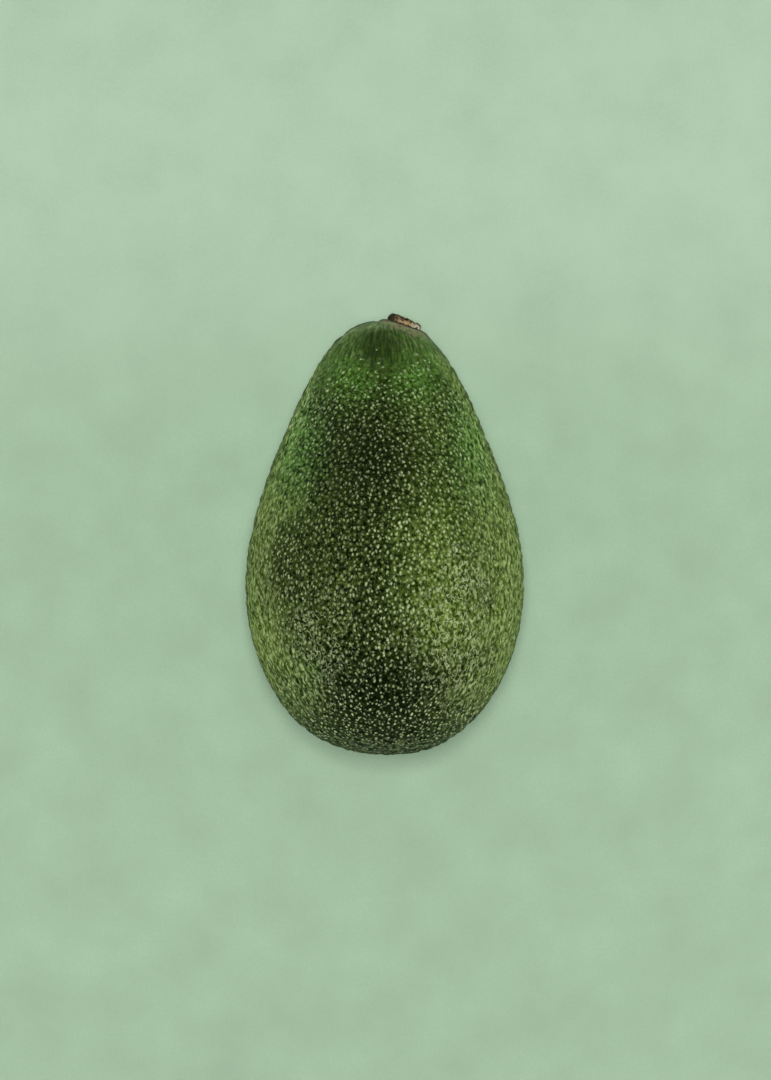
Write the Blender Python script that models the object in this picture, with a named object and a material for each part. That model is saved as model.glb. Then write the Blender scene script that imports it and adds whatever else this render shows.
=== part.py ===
"""A whole avocado, lying on its side with its stem button still in place.

The fruit grew along +Y, from the blossom end to the stem end. Lying on a level surface, a
pear-shaped body dips its neck until the point that it touches is under its centre of mass,
and its own weight presses a small flat spot there. Metres, +Z up, with the origin on the
surface, under the middle of the whole thing.
"""

import math
import random

import bmesh
import bpy
import numpy as np
from mathutils import Matrix, Vector, kdtree, noise

# Body: half its width halfway along, and how the width changes from the fat end to the neck
BODY_LENGTH = 0.1106
HALF_WIDTH_MIDWAY = 0.0336
TAPER = -0.322
WAIST = -0.213
SHOULDER = 0.153
NECK_FILL = 0.074
END_BLUNTNESS = 0.75

# Shares of the body's length: where it can touch the surface, and where its crown begins
CONTACT_RANGE = (0.35, 0.75)
CROWN_BEGINS = 0.9

# Skin relief: broad swells, and pebbles set round a spiral like seeds in a flower head
SWELL_SPACING = 0.024
SWELL_HEIGHT = 0.0003
PEBBLE_SPACING = 0.0068
PEBBLE_HEIGHT = 0.0008
PEBBLE_REACH = 0.0042
PEBBLE_SCATTER = 0.36
PEBBLE_SEED = 7
GOLDEN_ANGLE = math.pi * (3 - math.sqrt(5))
SMOOTH_ROUND_STEM = 0.009
SMOOTH_OVER_FLAT = 0.003

# Blossom end: the scar where the flower sat
SCAR_RADIUS = 0.0026
SCAR_DEPTH = 0.0006

# Flat spot that the fruit rests on, as a depth cut from its lowest point
FLAT_DEPTH = 0.0005

# Stem button: a slice of the fruit stalk, seated in a shallow socket beside the crown. Its bark
# rises in rows, each a share of the rim's radius and of the way up.
BUTTON_RADIUS = 0.0047
BUTTON_PROUD = 0.0020
BUTTON_SLOPE = 0.09
BUTTON_SEATED = 0.0013
BUTTON_ROUGHNESS = 0.00045
BUTTON_GRAIN = 0.0016
PIT_RADIUS = 0.001
RIM_WAVES = 2.2
RIM_WAVE_DEPTH = 0.0007
BARK_ROWS = ((0.93, 0), (0.96, 0.4), (1.0, 0.75))
END_GRAIN_SHARE = 0.97
BUTTON_OFFSET = 0.0058
BUTTON_TURN = math.radians(28)
BUTTON_LEAN = math.radians(21)
SEAT_SINK = 0.0010
CLEARANCE = 0.0003

# Finishes: colour in linear light, and roughness
SKIN_FINISH = ((0.055, 0.105, 0.022), 0.42)
BARK_FINISH = ((0.23, 0.14, 0.075), 0.88)

# Mesh density
GRID = 30
PROFILE_STEPS = 600
BUTTON_SIDES = 44
BUTTON_RINGS = 7
SKIN_CREASE = math.radians(50)
BARK_CREASE = math.radians(40)


def clear_scene():
    for thing in list(bpy.data.objects):
        bpy.data.objects.remove(thing)


def profile(angle):
    """Distance along the axis and half-width. The angle runs from 0 at the blossom end to pi."""
    along = -np.cos(angle)
    shape = 1 + TAPER * along + WAIST * along**2 + SHOULDER * along**3 + NECK_FILL * along**4
    half_width = HALF_WIDTH_MIDWAY * np.maximum(np.sin(angle), 0) ** END_BLUNTNESS * shape
    return BODY_LENGTH * (1 + along) / 2, half_width


def even_profile():
    """The profile as arrays: the share of its run so far, the distance along and the half-width."""
    along, half_width = profile(np.linspace(0, math.pi, PROFILE_STEPS))
    run = np.concatenate([[0], np.cumsum(np.hypot(np.diff(along), np.diff(half_width)))])
    return run / run[-1], along, half_width


def rest_tilt():
    """How far the neck dips before the point of contact lies straight under the centre of mass."""
    _, along, half_width = even_profile()
    slices = np.diff(along) * ((half_width[1:] + half_width[:-1]) / 2) ** 2
    centre = np.sum(slices * (along[1:] + along[:-1]) / 2) / np.sum(slices)
    low, high = CONTACT_RANGE
    middle = (along > BODY_LENGTH * low) & (along < BODY_LENGTH * high)
    slope = np.gradient(half_width[middle], along[middle])
    offset = along[middle] + half_width[middle] * slope - centre
    return math.atan(-np.interp(0, offset, slope))


def button_frame():
    """The place and direction of the stem button on the body, before the fruit is laid down."""
    _, along, half_width = even_profile()
    crown = along > BODY_LENGTH * CROWN_BEGINS
    height = np.interp(-BUTTON_OFFSET, -half_width[crown], along[crown])
    outward = Vector((math.cos(BUTTON_TURN), 0, math.sin(BUTTON_TURN)))
    direction = Vector((0, math.cos(BUTTON_LEAN), 0)) + outward * math.sin(BUTTON_LEAN)
    centre = outward * BUTTON_OFFSET + Vector((0, height, 0)) - direction * SEAT_SINK
    return centre, direction


def frame_matrix(centre, direction):
    """A frame whose +Z points along the direction and whose +X leans the way the button leans."""
    across = Vector((direction.x, 0, direction.z)).normalized()
    across = (across - direction * across.dot(direction)).normalized()
    side = direction.cross(across)
    turn = Matrix((across, side, direction)).transposed().to_4x4()
    return Matrix.Translation(centre) @ turn


def fade(value, start, end):
    share = min(max((value - start) / (end - start), 0), 1)
    return share * share * (3 - 2 * share)


def pebble_tops():
    """The middles of the pebbles, each with the same share of the skin, as a search tree."""
    _, along, half_width = even_profile()
    widths = half_width[1:] + half_width[:-1]
    belts = math.pi * widths * np.hypot(np.diff(along), np.diff(half_width))
    covered = np.concatenate([[0], np.cumsum(belts)])
    count = round(covered[-1] / (PEBBLE_SPACING**2 * math.sqrt(3) / 2))
    draw = random.Random(PEBBLE_SEED)
    tops = kdtree.KDTree(count)
    for index in range(count):
        share = (index + 0.5) / count * covered[-1]
        radius = np.interp(share, covered, half_width)
        length = np.interp(share, covered, along)
        around = index * GOLDEN_ANGLE
        spot = Vector((radius * math.sin(around), length, radius * math.cos(around)))
        scatter = Vector([draw.uniform(-1, 1) for _ in range(3)])
        tops.insert(spot + scatter * PEBBLE_SCATTER * PEBBLE_SPACING, index)
    tops.balance()
    return tops


def pebble_height(point, tops):
    """A dome over each pebble's middle, so that neighbours meet in grooves."""
    away = min(tops.find(point)[2] / PEBBLE_REACH, 1)
    return PEBBLE_HEIGHT * (0.5 - away * away)


def swell_height(point):
    return SWELL_HEIGHT * noise.noise(point / SWELL_SPACING)


def scar_height(point):
    """A dimple with a low lip round it, at the blossom end."""
    away = math.hypot(point.x, point.z) / SCAR_RADIUS
    if point.y > BODY_LENGTH / 2:
        return 0
    return -SCAR_DEPTH * (1 - away**2 / 2) * math.exp(-away * away)


def relief(point, tops, button_centre, above_floor):
    """How far the skin stands out from the smooth body at this point."""
    from_stem = (point - button_centre).length - BUTTON_RADIUS
    calm = fade(from_stem, 0, SMOOTH_ROUND_STEM) * fade(above_floor, FLAT_DEPTH, SMOOTH_OVER_FLAT)
    return calm * (pebble_height(point, tops) + swell_height(point)) + scar_height(point)


def cube_ball():
    """A cube's even grid blown up to a unit ball, which has no crowded poles."""
    mesh = bmesh.new()
    bmesh.ops.create_cube(mesh, size=2)
    bmesh.ops.subdivide_edges(mesh, edges=mesh.edges, cuts=GRID - 1, use_grid_fill=True)
    for vert in mesh.verts:
        vert.co = Vector([math.tan(c * math.pi / 4) for c in vert.co]).normalized()
    return mesh


def shape_body(mesh, tilt):
    """Moves the ball's points onto the pebbled body. It returns the height of the lowest, laid down."""
    run, along, half_width = even_profile()
    button_centre, _ = button_frame()
    tops = pebble_tops()
    upward = Matrix.Rotation(-tilt, 3, "X").row[2]
    smooth = []
    for vert in mesh.verts:
        share = math.acos(min(max(-vert.co.y, -1), 1)) / math.pi
        radius = float(np.interp(share, run, half_width))
        around = math.atan2(vert.co.x, vert.co.z)
        length = float(np.interp(share, run, along))
        smooth.append(Vector((radius * math.sin(around), length, radius * math.cos(around))))
    for vert, point in zip(mesh.verts, smooth):
        vert.co = point
    mesh.normal_update()
    outward = [vert.normal.copy() for vert in mesh.verts]
    lowest = min(upward.dot(point) for point in smooth)
    for vert, point, normal in zip(mesh.verts, smooth, outward):
        above_floor = upward.dot(point) - lowest
        vert.co = point + normal * relief(point, tops, button_centre, above_floor)
    return lowest


def cut_flat_spot(mesh, tilt, lowest):
    """Takes off everything under a level plane just above the lowest point, and closes the cut."""
    upward = Matrix.Rotation(-tilt, 3, "X").row[2].copy()
    everything = mesh.verts[:] + mesh.edges[:] + mesh.faces[:]
    bmesh.ops.bisect_plane(
        mesh,
        geom=everything,
        plane_co=upward * (lowest + FLAT_DEPTH),
        plane_no=-upward,
        clear_outer=True,
    )
    rim = [edge for edge in mesh.edges if edge.is_boundary]
    bmesh.ops.contextual_create(mesh, geom=rim)


def object_from(mesh, name, material, parent):
    data = bpy.data.meshes.new(name)
    mesh.to_mesh(data)
    mesh.free()
    thing = bpy.data.objects.new(name, data)
    bpy.context.scene.collection.objects.link(thing)
    if material:
        data.materials.append(material)
    thing.parent = parent
    return thing


def plain_material(name, colour, roughness):
    material = bpy.data.materials.new(name)
    material.use_nodes = True
    shader = material.node_tree.nodes["Principled BSDF"]
    shader.inputs["Base Color"].default_value = (*colour, 1)
    shader.inputs["Roughness"].default_value = roughness
    shader.inputs["Metallic"].default_value = 0
    return material


def make_fruit(parent, tilt):
    mesh = cube_ball()
    lowest = shape_body(mesh, tilt)
    cut_flat_spot(mesh, tilt, lowest)
    skin = plain_material("green_skin", *SKIN_FINISH)
    fruit = object_from(mesh, "fruit", skin, parent)
    fruit.data.shade_smooth()
    fruit.data.set_sharp_from_angle(angle=SKIN_CREASE)
    return fruit


def cut_socket(fruit, parent):
    """The shallow round seat that holds the stem button."""
    mesh = bmesh.new()
    depth = BUTTON_SEATED + CLEARANCE
    height = depth + 3 * BUTTON_PROUD
    radius = BUTTON_RADIUS + CLEARANCE
    bmesh.ops.create_cone(
        mesh,
        cap_ends=True,
        segments=BUTTON_SIDES,
        radius1=radius,
        radius2=radius,
        depth=height,
        matrix=Matrix.Translation((0, 0, height / 2 - depth)),
    )
    cutter = object_from(mesh, "socket_cutter", None, parent)
    cutter.matrix_local = frame_matrix(*button_frame())
    cutter.hide_render = True
    cutter.display_type = "WIRE"
    cut = fruit.modifiers.new("socket", "BOOLEAN")
    cut.operation = "DIFFERENCE"
    cut.solver = "EXACT"
    cut.object = cutter


def button_top(x, y):
    """The broken end grain: it slopes down outwards, with pits and torn ridges."""
    spot = Vector((x, y, 0)) / BUTTON_GRAIN
    from_pit = noise.voronoi(spot)[0][0] * BUTTON_GRAIN
    pit = 1 - min(from_pit / PIT_RADIUS, 1)
    torn = BUTTON_ROUGHNESS * (noise.noise(spot) - pit)
    return BUTTON_PROUD - BUTTON_SLOPE * x + torn


def button_rim(around):
    """The bark's outline, which is never quite round."""
    spot = Vector((math.cos(around), math.sin(around), 0)) * RIM_WAVES
    return BUTTON_RADIUS - RIM_WAVE_DEPTH * abs(noise.noise(spot))


def ring_of(mesh, radius_share, rise):
    """One ring of points, at a share of the rim's radius, and of the way up from bottom to top."""
    ring = []
    for side in range(BUTTON_SIDES):
        around = 2 * math.pi * side / BUTTON_SIDES
        radius = button_rim(around) * radius_share
        x = radius * math.cos(around)
        y = radius * math.sin(around)
        height = (button_top(x, y) + BUTTON_SEATED) * rise - BUTTON_SEATED
        ring.append(mesh.verts.new((x, y, height)))
    return ring


def make_button(parent):
    """The stem button as rings: up the bark from the bottom, then in across the end grain."""
    mesh = bmesh.new()
    bottom = mesh.verts.new((0, 0, -BUTTON_SEATED))
    rings = [ring_of(mesh, share, rise) for share, rise in BARK_ROWS]
    for step in range(BUTTON_RINGS):
        share = END_GRAIN_SHARE * (1 - step / BUTTON_RINGS)
        rings.append(ring_of(mesh, share, 1))
    top = mesh.verts.new((0, 0, button_top(0, 0)))
    for low, high in zip(rings, rings[1:]):
        for side in range(BUTTON_SIDES):
            after = (side + 1) % BUTTON_SIDES
            mesh.faces.new((low[side], low[after], high[after], high[side]))
    for side in range(BUTTON_SIDES):
        after = (side + 1) % BUTTON_SIDES
        mesh.faces.new((bottom, rings[0][after], rings[0][side]))
        mesh.faces.new((top, rings[-1][side], rings[-1][after]))
    bark = plain_material("dry_stalk", *BARK_FINISH)
    button = object_from(mesh, "stem_button", bark, parent)
    button.matrix_local = frame_matrix(*button_frame())
    button.data.shade_smooth()
    button.data.set_sharp_from_angle(angle=BARK_CREASE)
    return button


def lay_down(parent, nodes, tilt):
    """Turns the whole thing to rest on its flat spot, with the origin under its middle."""
    parent.rotation_euler = (-tilt, 0, 0)
    bpy.context.view_layer.update()
    graph = bpy.context.evaluated_depsgraph_get()
    corners = []
    for node in nodes:
        evaluated = node.evaluated_get(graph)
        corners += [evaluated.matrix_world @ vert.co for vert in evaluated.data.vertices]
    low = [min(corner[axis] for corner in corners) for axis in range(3)]
    high = [max(corner[axis] for corner in corners) for axis in range(3)]
    parent.location = (-(low[0] + high[0]) / 2, -(low[1] + high[1]) / 2, -low[2])


def main():
    clear_scene()
    avocado = bpy.data.objects.new("avocado", None)
    bpy.context.scene.collection.objects.link(avocado)
    tilt = rest_tilt()
    fruit = make_fruit(avocado, tilt)
    cut_socket(fruit, avocado)
    button = make_button(avocado)
    lay_down(avocado, [fruit, button], tilt)


if __name__ == "__main__":
    main()
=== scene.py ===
import math
import random

import bmesh
import bpy
import numpy as np
from bpy.props import FloatProperty, FloatVectorProperty, IntProperty, PointerProperty
from bpy.types import Operator, Panel, PropertyGroup
from mathutils import Matrix, Vector, kdtree, noise


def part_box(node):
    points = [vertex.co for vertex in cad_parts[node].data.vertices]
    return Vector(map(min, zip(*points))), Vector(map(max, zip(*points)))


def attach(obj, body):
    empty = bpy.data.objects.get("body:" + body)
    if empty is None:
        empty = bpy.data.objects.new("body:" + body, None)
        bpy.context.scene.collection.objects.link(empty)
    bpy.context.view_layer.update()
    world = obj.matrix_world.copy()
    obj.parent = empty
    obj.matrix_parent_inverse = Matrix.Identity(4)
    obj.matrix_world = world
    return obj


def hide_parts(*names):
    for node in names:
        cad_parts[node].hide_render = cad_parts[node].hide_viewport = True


bl_info = {
    "name": "Avocado",
    "version": (1, 0, 0),
    "blender": (4, 5, 0),
    "location": "View3D > Sidebar > Avocado",
    "description": "Grows the skin and the stem button of a whole avocado, and sets it on a pale sheet",
    "category": "Add Mesh",
}

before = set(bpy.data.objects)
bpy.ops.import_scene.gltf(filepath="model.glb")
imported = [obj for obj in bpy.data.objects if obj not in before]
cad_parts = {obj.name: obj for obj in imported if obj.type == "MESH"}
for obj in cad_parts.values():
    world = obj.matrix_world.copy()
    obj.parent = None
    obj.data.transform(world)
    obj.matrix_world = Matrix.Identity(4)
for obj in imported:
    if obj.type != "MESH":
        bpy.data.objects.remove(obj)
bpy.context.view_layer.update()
FRUIT_LOW, FRUIT_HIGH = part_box("fruit")
MM = 1000

# Body, as in the part: half its width halfway along, and how the width changes towards the neck
BODY_LENGTH = 0.1106
HALF_WIDTH_MIDWAY = 0.0336
TAPER = -0.322
WAIST = -0.213
SHOULDER = 0.153
NECK_FILL = 0.074
END_BLUNTNESS = 0.75
SWELL_SPACING = 0.024
SWELL_HEIGHT = 0.0003
SCAR_RADIUS = 0.0026
SCAR_DEPTH = 0.0006
FLAT_DEPTH = 0.0005
PROFILE_STEPS = 900
GOLDEN_ANGLE = math.pi * (3 - math.sqrt(5))

# Stem button and the socket that it sits in
BUTTON_RADIUS = 0.0047
BUTTON_PROUD = 0.0020
BUTTON_SLOPE = 0.09
BUTTON_SEATED = 0.0013
BUTTON_OFFSET = 0.0058
BUTTON_TURN = math.radians(28)
BUTTON_LEAN = math.radians(21)
SEAT_SINK = 0.0010
CLEARANCE = 0.0003
SOCKET_EDGE_INNER = 0.0002
SOCKET_EDGE_OUTER = 0.0009
SOCKET_REACH_DOWN = 0.006

# Pebbles, crown and blossom end: how high or deep each form is, and where it lies
PEBBLE_RADIUS_SHARE = 0.62
UNEVEN_SPACING = 0.011
CALM_FROM_STEM = 0.001
LEVEL_ROUND_STEM = 0.009
SHOULDER_FROM = 0.080
SHOULDER_TO = 0.091
BLUNTED = 0.00018
BLUNTED_REACH = 0.012
FURROW_HEIGHT = 0.00009
FURROW_REACH = 0.012
CROWN_DEPTH = 0.015
CREASE_ACROSS = -0.0018
CREASE_WIDTH = 0.0007
CREASE_DEPTH = 0.0004
CREASE_FROM_END = 0.0035
CREASE_FULL_FROM_END = 0.0005
LIP_HEIGHT = 0.00028
LIP_FROM_STEM = 0.0011
LIP_WIDTH = 0.0009

# Furrows are spaced round a ring of radius 1, and change slowly on their way out from the stem
FURROW_SPACING = 0.11
FURROW_CHANGE = 60

# Stem button: its worn rim, and the pits, ridges and grain of its broken end
RIM_HOLLOWS = 0.00072
RIM_FURROWS = 0.00016
GRAIN_DOME = 0.0003
GRAIN_COARSE = 0.0003
GRAIN_COARSE_SPACING = 0.0016
GRAIN_FINE = 0.00016
GRAIN_FINE_SPACING = 0.0006
GRAIN_PIT_DEPTH = 0.0011
GRAIN_PIT_SPACING = 0.0017
GRAIN_PIT_SHARE = 0.42
CRUST_SPACING = 0.0007
CRUST_SHARE = 0.035
END_GRAIN_SHARE = 0.85

# Rings up the bark and over its worn edge: each one's share of the rim's radius and of the height
BARK_RINGS = (
    (0.93, 0.0), (0.94, 0.12), (0.95, 0.24), (0.965, 0.36), (0.98, 0.46), (0.99, 0.55),
    (0.995, 0.63), (0.99, 0.71), (0.975, 0.79), (0.95, 0.86), (0.92, 0.92), (0.885, 0.965),
)

# The way across the stem button from dark bark to pale wood, and its two deep holes, in millimetres
WEATHERED_WAY = (0.87, 0.49)
BARK_HOLES = ((0.9, -4.1, 1.9), (2.3, -3.5, 1.8))

# Along the fruit, in millimetres: from where each zone of the crown starts to where it is complete
CROWN_EDGE = (44, 48)
STRIPES_EDGE = (38, 46)
DARK_RIM_EDGE = (44, 49)

# From where each of these starts to fade to where it has gone: the dots along the fruit, and the
# others outwards from the middle of the crown, the stem button or the scar, in millimetres
DOTS_EDGE = (45.5, 48.0)
CAP_EDGE = (9.6, 13.2)
TORN_EDGE = (7.0, 8.4)
GAP_EDGE = (6.1, 6.7)
SCAR_EDGE = (1.2, 2.3)

# The crown's paler cap, painted light over its edge, is wider than it is high, and the way along the fruit
# hardly counts in it
CAP_SHAPE = (1.4, 1000, 1)

# Soft patches on the skin as seen from above, in millimetres: the centre, the reach and the strength
# LIGHT_PATCHES are paler skin on the right, partly painted light where the lamps' broad sheen falls on that
# flank.
LIGHT_PATCHES = (((13, -5), (8, 19), 0.85), ((15.5, -24), (7, 8), 0.8), ((12, 27), (6, 8), 0.4))
# LIT_CROWN_PATCHES: two bright green patches below the crown, partly painted light falling on its slope,
# partly greener skin.
LIT_CROWN_PATCHES = (((-8.5, 40), (7, 7), 1), ((7.5, 40), (7, 7), 1))
LOWER_TOP_EDGE = (((-27, -13), (7, 12), 0.22), ((-17, 28), (6, 13), 0.2))
LOW_FLANKS = (((-21, -36), (7, 9), 1), ((21, -36), (7, 9), 1))
NECK_FLANKS = (((-24, 19), (7, 20), 1), ((24, 19), (7, 20), 1))
HIGH_FLANK = (((-21, 33), (5, 9), 1),)
# DARK_BELLY darkens the middle of the fat end: partly painted shade of the dark band down the top, partly
# darker skin
DARK_BELLY = (((0, -40), (14, 13), 0.35),)
# DARK_CROWN: the dark middle of the crown, partly painted shade below its lit edge, partly darker skin.
DARK_CROWN = (((-1.2, 46.6), (5.6, 5.0), 1.35),)
DRY_PATCHES = (((3.4, 52.2), (1.7, 0.7), 1), ((7.4, 50.2), (1.6, 0.8), 0.7))
FAINT_DOTS = (((-15, 4), (11, 26), 0.42), ((-4, 24), (18, 13), 0.22), ((0, -38), (12, 12), 0.15))
RIDGED_FLANKS = (((-16, -26), (7, 10), 0.7), ((17, -25), (8, 12), 1.1), ((19, -9), (6, 6), 0.7))

# The same for the broad shades of the ground, with the colour of each, painted in this order. The deep ones
# down the middle of the top are partly painted shade, the dark band where less light falls, and partly
# darker skin
BROAD_SHADES = (
    ("deep", (-5, 18), (15, 13), 0.85),
    ("deep", (-0.5, 37), (3.5, 7), 0.6),
    ("brown", (-15, 22), (8, 14), 0.7),
    ("deep", (0, -41), (13, 11), 0.85),
    ("deep", (-4, -14), (4, 20), 0.4),
    ("brown", (-17, -3), (9, 18), 0.6),
    ("brown", (-14, -37), (9, 8), 0.6),
    ("lively", (-8.5, 40), (6, 7), 0.95),
    ("lively", (7.5, 40), (6, 7), 0.95),
    ("deep", (-16, 26), (6, 9), 0.5),
    ("deep", (-13, -37), (8, 9), 0.6),
    ("lively", (-20, -35), (5, 7), 0.35),
    ("deep", (12, -38), (7, 8), 0.4),
    ("lively", (-23, 25), (7, 16), 0.85),
    ("lively", (23, 25), (7, 16), 0.75),
    ("brown", (-29, -8), (6, 11), 0.6),
)

# The studio, in metres, but the far sheet's edge in millimetres. The lamps face a point in the fruit
SHEET_WIDTH = 4
SHEET_TONES = (0.90, 1.10)
FAR_SHEET_EDGE = (10, 100)
SIDE_LAMP_OUT = 0.62
SIDE_LAMP_ALONG = -0.03
SIDE_LAMP_UP = 0.28
SIDE_LAMP_SIZE = (0.7, 0.44)
LEFT_LAMP_SHARE = 0.92
MIRRORED_SHARE = 0.18
OVERHEAD_LAMP = (0.0, 0.06, 1.4)
OVERHEAD_LAMP_SIZE = (0.16, 0.30)
FAR_LAMP = (0.0, 0.7, 1.0)
FAR_LAMP_SIZE = (0.5, 0.4)
LAMP_AIM = (0, 0, 0.035)


def profile(angle):
    """Distance along the axis and half-width, for an angle that runs from 0 at the blossom end to pi."""
    along = -np.cos(angle)
    shape = 1 + TAPER * along + WAIST * along**2 + SHOULDER * along**3 + NECK_FILL * along**4
    half_width = HALF_WIDTH_MIDWAY * np.maximum(np.sin(angle), 0) ** END_BLUNTNESS * shape
    return BODY_LENGTH * (1 + along) / 2, half_width


def even_profile():
    """The profile's length run so far, distance along and half-width, as arrays."""
    along, half_width = profile(np.linspace(0, math.pi, PROFILE_STEPS))
    run = np.concatenate([[0], np.cumsum(np.hypot(np.diff(along), np.diff(half_width)))])
    return run, along, half_width


def rest_tilt():
    """How far the neck dips before the point of contact lies straight under the centre of mass."""
    _, along, half_width = even_profile()
    slices = np.diff(along) * ((half_width[1:] + half_width[:-1]) / 2) ** 2
    centre = np.sum(slices * (along[1:] + along[:-1]) / 2) / np.sum(slices)
    middle = (along > BODY_LENGTH * 0.35) & (along < BODY_LENGTH * 0.75)
    slope = np.gradient(half_width[middle], along[middle])
    offset = along[middle] + half_width[middle] * slope - centre
    return math.atan(-np.interp(0, offset, slope))


def button_frame():
    """The stem button's own frame on the upright body: +Z out of the crown, +X the way it leans."""
    _, along, half_width = even_profile()
    crown = along > BODY_LENGTH * 0.9
    height = np.interp(-BUTTON_OFFSET, -half_width[crown], along[crown])
    outward = Vector((math.cos(BUTTON_TURN), 0, math.sin(BUTTON_TURN)))
    direction = Vector((0, math.cos(BUTTON_LEAN), 0)) + outward * math.sin(BUTTON_LEAN)
    centre = outward * BUTTON_OFFSET + Vector((0, height, 0)) - direction * SEAT_SINK
    across = Vector((direction.x, 0, direction.z)).normalized()
    across = (across - direction * across.dot(direction)).normalized()
    turn = Matrix((across, direction.cross(across), direction)).transposed().to_4x4()
    return Matrix.Translation(centre) @ turn


def laid_down():
    """The matrix that lays the upright body down where the frame's fruit lies."""
    tilt = rest_tilt()
    turn = Matrix.Rotation(-tilt, 4, "X")
    _, along, half_width = even_profile()
    under = np.stack([along, -half_width], axis=1)
    level = -math.sin(tilt) * under[:, 0] + math.cos(tilt) * under[:, 1]
    far = math.cos(tilt) * along + math.sin(tilt) * half_width
    near = math.cos(tilt) * along - math.sin(tilt) * half_width
    middle = (FRUIT_LOW[1] + FRUIT_HIGH[1]) / 2 - (far.max() + near.min()) / 2
    return Matrix.Translation((0, middle, -level.min() - FLAT_DEPTH)) @ turn


LAID = laid_down()
BUTTON = LAID @ button_frame()


class FruitSizes(PropertyGroup):
    """What a user would change on the skin."""

    grid: IntProperty(
        name="Grid", description="Quads along each edge of the ball's six faces", default=128, min=16
    )
    pebble_spacing: FloatProperty(
        name="Pebble spacing", description="Between one pebble of the skin and the next",
        default=0.00152, unit="LENGTH",
    )
    pebble_height: FloatProperty(
        name="Pebble height", description="How far a pebble stands out", default=0.00021, unit="LENGTH"
    )
    lump_spacing: FloatProperty(
        name="Lump spacing", description="Between the broader lumps under the pebbles",
        default=0.0033, unit="LENGTH",
    )
    lump_height: FloatProperty(
        name="Lump height", description="How far a lump stands out", default=0.00048, unit="LENGTH"
    )
    scatter: FloatProperty(
        name="Scatter", description="How far pebbles stray, as a share of their spacing",
        default=0.42, subtype="FACTOR",
    )
    seed: IntProperty(name="Seed", description="Changes where the pebbles stray", default=5)
    fullness: FloatProperty(
        name="Fullness", description="Added all over the body", default=-0.0001, unit="LENGTH"
    )
    shoulder: FloatProperty(
        name="Shoulder", description="Added round the neck, below the crown",
        default=0.0003, unit="LENGTH",
    )
    calm_reach: FloatProperty(
        name="Calm crown", description="How far from the stem button the pebbles are at full height",
        default=0.014, unit="LENGTH",
    )


class SkinColours(PropertyGroup):
    """The skin's colours, in linear light."""

    # Painted shade in part: the top's pits, green and dots are darker copies of the sides' ones. They stand
    # in for the shade along the top, and also hold darker skin.
    pit: FloatVectorProperty(
        name="Pits", description="Between the pebbles, on top", subtype="COLOR",
        default=(0.0012, 0.0050, 0.0001),
    )
    green: FloatVectorProperty(
        name="Green", description="The skin's main colour, on top", subtype="COLOR",
        default=(0.070, 0.120, 0.0180),
    )
    dot: FloatVectorProperty(
        name="Dots", description="The pale dots, on top", subtype="COLOR", default=(0.58, 0.69, 0.37)
    )
    # Painted light in part: the sides' pits, green and dots are paler, yellower copies. They stand in for
    # the side lamps' light, and also hold yellower skin.
    side_pit: FloatVectorProperty(
        name="Side pits", description="Between the pebbles, on the sides", subtype="COLOR",
        default=(0.026, 0.050, 0.0012),
    )
    side_green: FloatVectorProperty(
        name="Side green", description="The skin's main colour on the sides", subtype="COLOR",
        default=(0.140, 0.212, 0.031),
    )
    side_dot: FloatVectorProperty(
        name="Side dots", description="The pale dots and streaks on the sides", subtype="COLOR",
        default=(0.58, 0.72, 0.31),
    )
    # Partly painted shade: the dark band down the middle of the top, and also darker skin.
    deep: FloatVectorProperty(
        name="Deep green", description="The darkest shades, along the top", subtype="COLOR",
        default=(0.0080, 0.0190, 0.0018),
    )
    # Partly painted light: the paler patches on the right stand in for the lamps' broad sheen there, and
    # also hold paler skin. Random paler drifts use this colour too.
    light: FloatVectorProperty(
        name="Light green", description="The paler shade on the right", subtype="COLOR",
        default=(0.210, 0.320, 0.060),
    )
    # Partly painted light: the two lively patches below the crown stand in for light on its slope, and also
    # hold greener skin. Elsewhere this colour tints the crown's stripes and other patches.
    lively: FloatVectorProperty(
        name="Lively green", description="Fresh patches below the crown", subtype="COLOR",
        default=(0.140, 0.335, 0.056),
    )
    brown: FloatVectorProperty(
        name="Brown shade", description="Duller patches on the left", subtype="COLOR",
        default=(0.052, 0.070, 0.013),
    )
    # Painted light: the greyer, paler band over the crown's edge stands in for the light it catches.
    rim: FloatVectorProperty(
        name="Crown rim", description="The greyer skin over the edge of the crown", subtype="COLOR",
        default=(0.34, 0.45, 0.20),
    )
    # Partly painted shade: the dark middle of the crown, and also darker skin.
    crown: FloatVectorProperty(
        name="Crown", description="The dark smooth skin of the crown", subtype="COLOR",
        default=(0.019, 0.046, 0.007),
    )
    torn: FloatVectorProperty(
        name="Dry skin", description="The dry skin round the stem button", subtype="COLOR",
        default=(0.300, 0.250, 0.140),
    )
    # Painted shadow: the dark ring in and round the gap about the stem button.
    gap: FloatVectorProperty(
        name="Gap", description="The dark gap round the stem button", subtype="COLOR",
        default=(0.018, 0.020, 0.007),
    )
    ridge: FloatVectorProperty(
        name="Ridges", description="Winding dry ridges", subtype="COLOR", default=(0.52, 0.60, 0.32)
    )
    scar: FloatVectorProperty(
        name="Blossom scar", description="The dry scar at the fat end", subtype="COLOR",
        default=(0.060, 0.036, 0.016),
    )


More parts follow.
